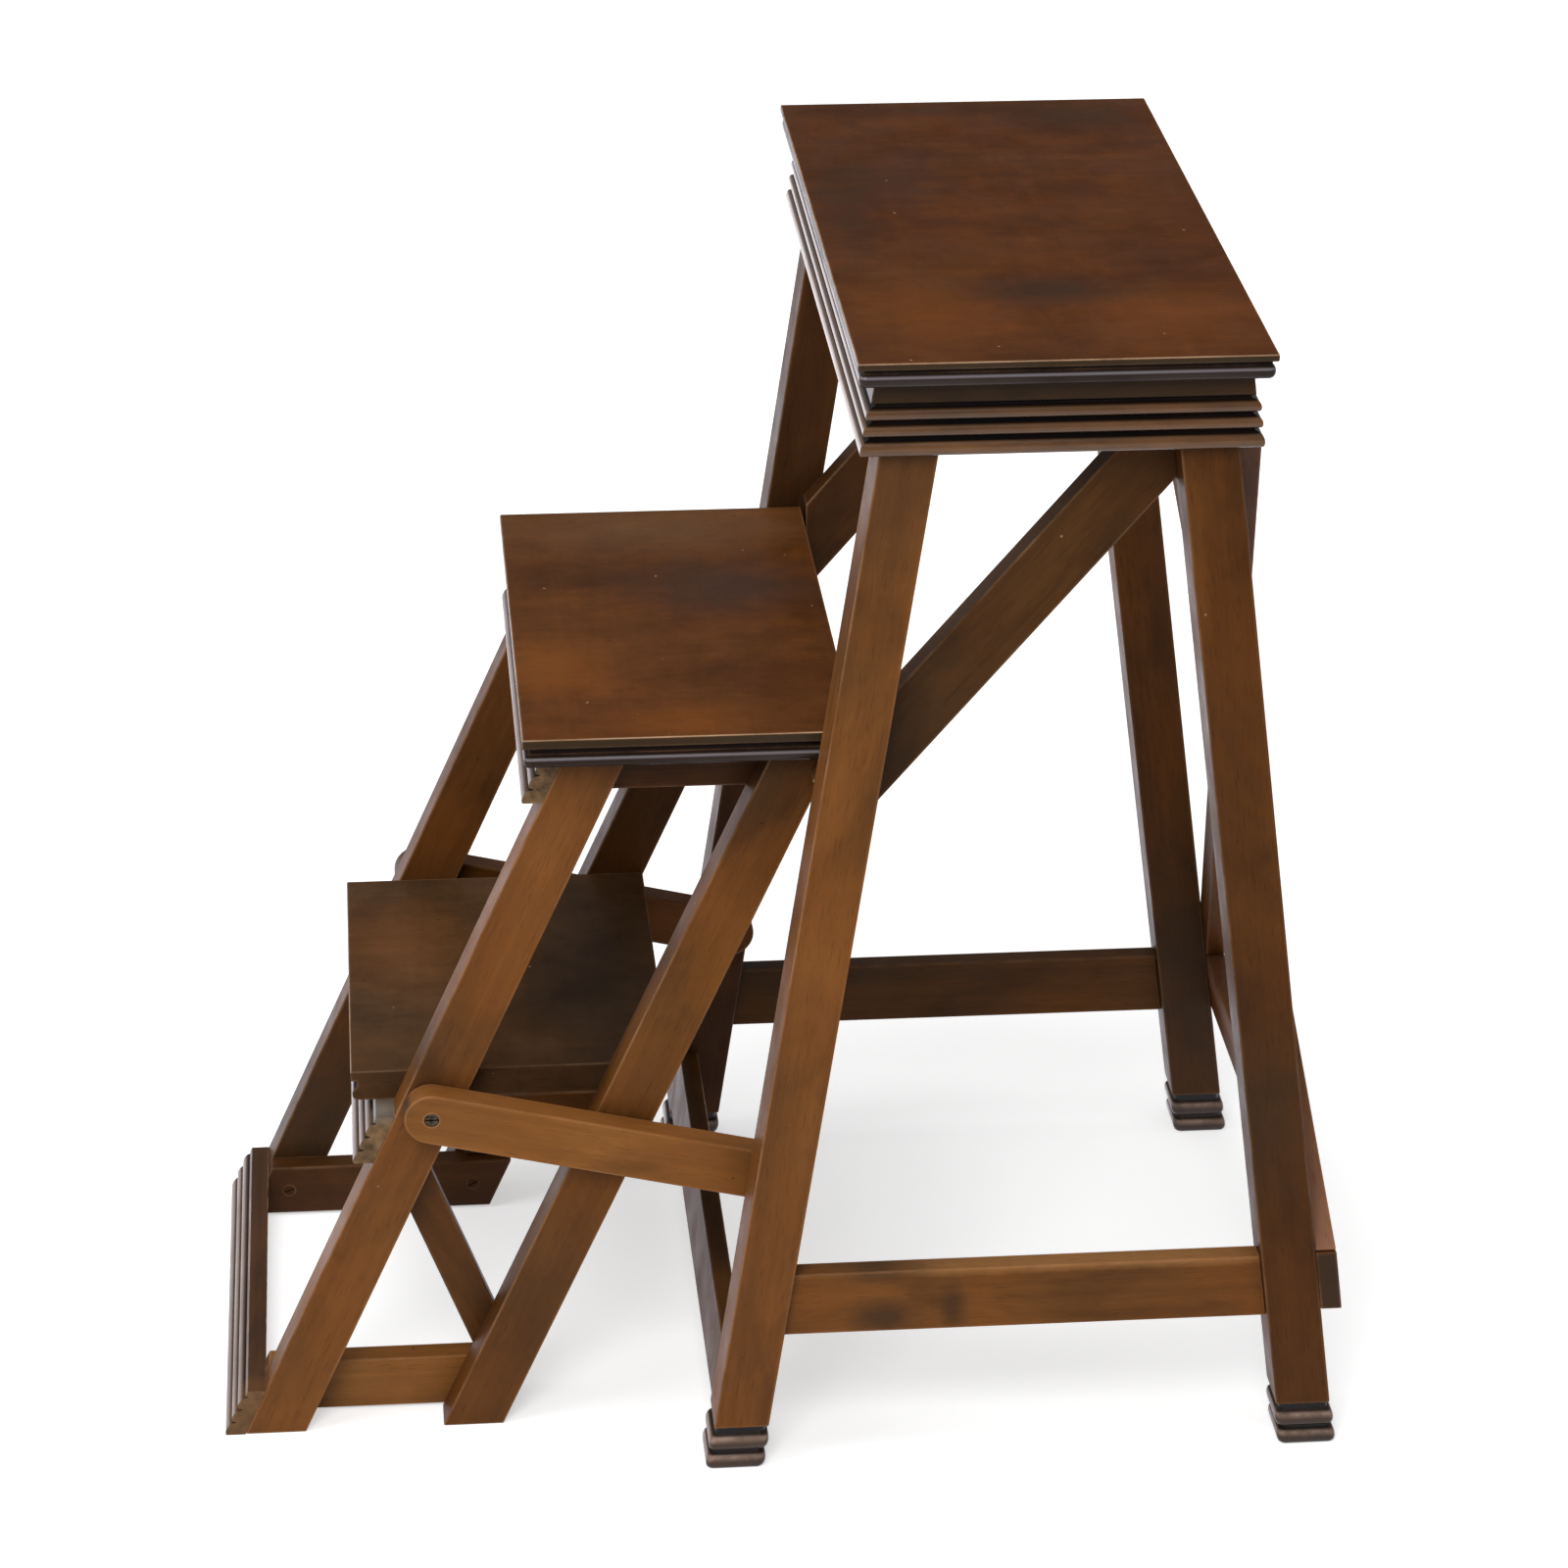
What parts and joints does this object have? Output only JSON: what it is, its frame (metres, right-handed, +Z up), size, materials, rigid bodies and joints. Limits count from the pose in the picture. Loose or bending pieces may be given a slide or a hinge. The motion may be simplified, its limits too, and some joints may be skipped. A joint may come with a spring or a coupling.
{
  "type": "library step stool",
  "caption": "Splayed wooden stool with a reeded seat frieze and a two-tread step unit that folds in under the seat on a pair of swing arms.",
  "frame": {"origin": "on the floor, under the centre of the open object's bounding box", "axes": "+X from the foot of the steps towards the back of the stool, +Y along the treads from the near end to the far end, +Z up"},
  "size_m": [0.7156, 0.485, 0.76],
  "materials": {
    "tread_wood": "French-polished dark red-brown mahogany with cloudy figure",
    "moulded_wood": "polished red-brown mahogany, grooves ebonised",
    "frame_wood": "polished orange-brown stained wood, straight grain",
    "ebonised_wood": "ebonised, rubbed on the beads",
    "screw_steel": "dark oxidised steel",
    "pivot_brass": "dull brass"
  },
  "bodies": {
    "stool": {"back_brace": "frame_wood", "back_brace_cross": "frame_wood", "back_brace_screws": "screw_steel", "back_stretcher": "frame_wood", "back_stretcher_screws": "screw_steel", "foot_far_back": "ebonised_wood", "foot_far_front": "ebonised_wood", "foot_near_back": "ebonised_wood", "foot_near_front": "ebonised_wood", "frieze_back": "moulded_wood", "frieze_end_far": "moulded_wood", "frieze_end_near": "moulded_wood", "frieze_front": "moulded_wood", "front_stretcher": "frame_wood", "leg_far_back": "frame_wood", "leg_far_front": "frame_wood", "leg_near_back": "frame_wood", "leg_near_front": "frame_wood", "leg_pivot_screw_far": "screw_steel", "leg_pivot_screw_near": "screw_steel", "leg_spacer_far": "pivot_brass", "leg_spacer_near": "pivot_brass", "runner_far": "frame_wood", "runner_near": "frame_wood", "runner_screws": "screw_steel", "seat_blocks": "frame_wood", "seat_board": "tread_wood", "side_stretcher_far": "frame_wood", "side_stretcher_near": "frame_wood"},
    "swing_arms": {"arm_near": "frame_wood", "arm_far": "frame_wood"},
    "step_unit": {"arm_pivot_screw_far": "screw_steel", "arm_pivot_screw_near": "screw_steel", "arm_washer_far": "pivot_brass", "arm_washer_near": "pivot_brass", "cleat_screws": "screw_steel", "floor_cleat_far": "frame_wood", "floor_cleat_near": "frame_wood", "foot_rail": "moulded_wood", "front_stringer_far": "frame_wood", "front_stringer_near": "frame_wood", "lower_cleat_far": "frame_wood", "lower_cleat_near": "frame_wood", "lower_riser": "moulded_wood", "lower_tread": "tread_wood", "rear_stringer_far": "frame_wood", "rear_stringer_near": "frame_wood", "unit_brace_far": "frame_wood", "unit_brace_near": "frame_wood", "unit_brace_screws": "screw_steel", "upper_cleat_far": "frame_wood", "upper_cleat_near": "frame_wood", "upper_riser": "moulded_wood", "upper_tread": "tread_wood"}
  },
  "joints": [
    {"name": "arm_swing", "type": "hinge", "parent": "stool", "child": "swing_arms", "pos_m": [-0.00613, 0, 0.188], "axis": [0, 1, 0], "range_deg": [0, 84.5]},
    {"name": "step_fold", "type": "hinge", "parent": "swing_arms", "child": "step_unit", "pos_m": [-0.21986, 0, 0.239], "axis": [0, 1, 0], "range_deg": [-100.4, 0]}
  ],
  "couplings": [
    {"joint": "step_fold", "follows": "arm_swing", "ratio": -1.1876}
  ]
}
